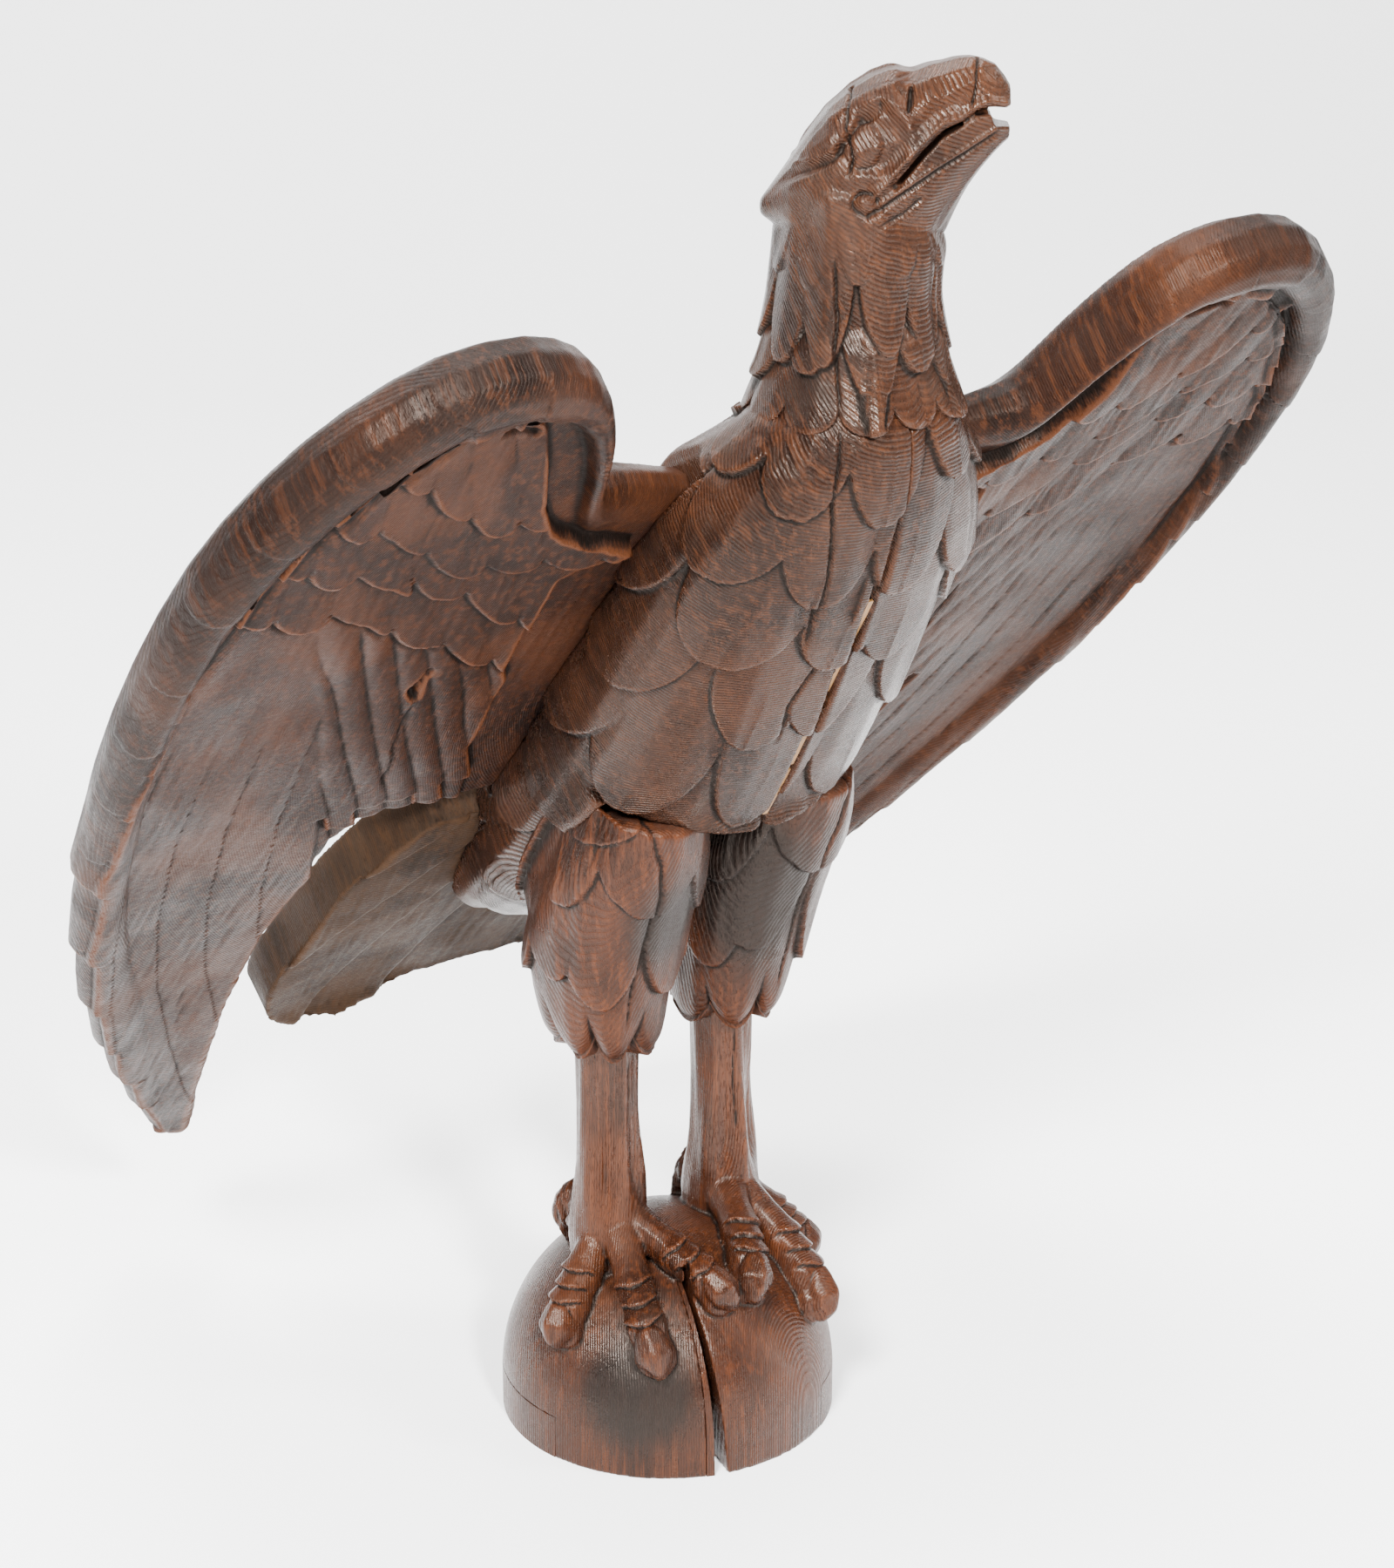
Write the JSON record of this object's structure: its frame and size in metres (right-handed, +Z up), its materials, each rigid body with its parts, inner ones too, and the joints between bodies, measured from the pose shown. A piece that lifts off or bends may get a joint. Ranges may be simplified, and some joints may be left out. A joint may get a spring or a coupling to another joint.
{
  "type": "lectern stand",
  "caption": "Carved oak eagle on a half orb, with spread wings and tail planed at the back as a sloping book rest.",
  "frame": {"origin": "middle of the orb's flat underside, on the surface that the lectern stands on", "axes": "+Z up; the eagle looks along -Y and the book slope faces +Y and up; the eagle's left is +X"},
  "size_m": [0.656, 0.5017, 0.7466],
  "materials": {
    "oak_dark": "dark stained carved oak, waxed, with dusty grey-brown highs and red-brown wear",
    "oak_red_brown": "redder stained oak, glossy with wax on the toes and the orb",
    "dowel_oak": "plain unstained oak dowel",
    "pale_strip": "yellowish oak filling strip, thinly stained",
    "iron": "dull dark iron wood screws"
  },
  "bodies": {
    "root": {"orb_and_feet_block": "oak_red_brown", "orb_cheek_right": "oak_red_brown", "orb_cheek_left": "oak_red_brown", "orb_split_strip": "oak_red_brown", "thigh_right": "oak_dark", "thigh_left": "oak_dark", "thigh_dowels": "dowel_oak", "trunk_right_half": "oak_dark", "trunk_left_half": "oak_dark", "trunk_dowels": "dowel_oak", "breast_strips": "pale_strip", "head_and_neck": "oak_dark", "neck_dowel": "dowel_oak", "wing_right": "oak_dark", "wing_left": "oak_dark", "wing_dowels_right": "dowel_oak", "wing_dowels_left": "dowel_oak", "wing_screws_right": "iron", "wing_screws_left": "iron", "tail": "oak_dark", "tail_dowels": "dowel_oak", "tail_screws": "iron", "book_ledge": "oak_dark", "ledge_screws": "iron"}
  },
  "joints": []
}
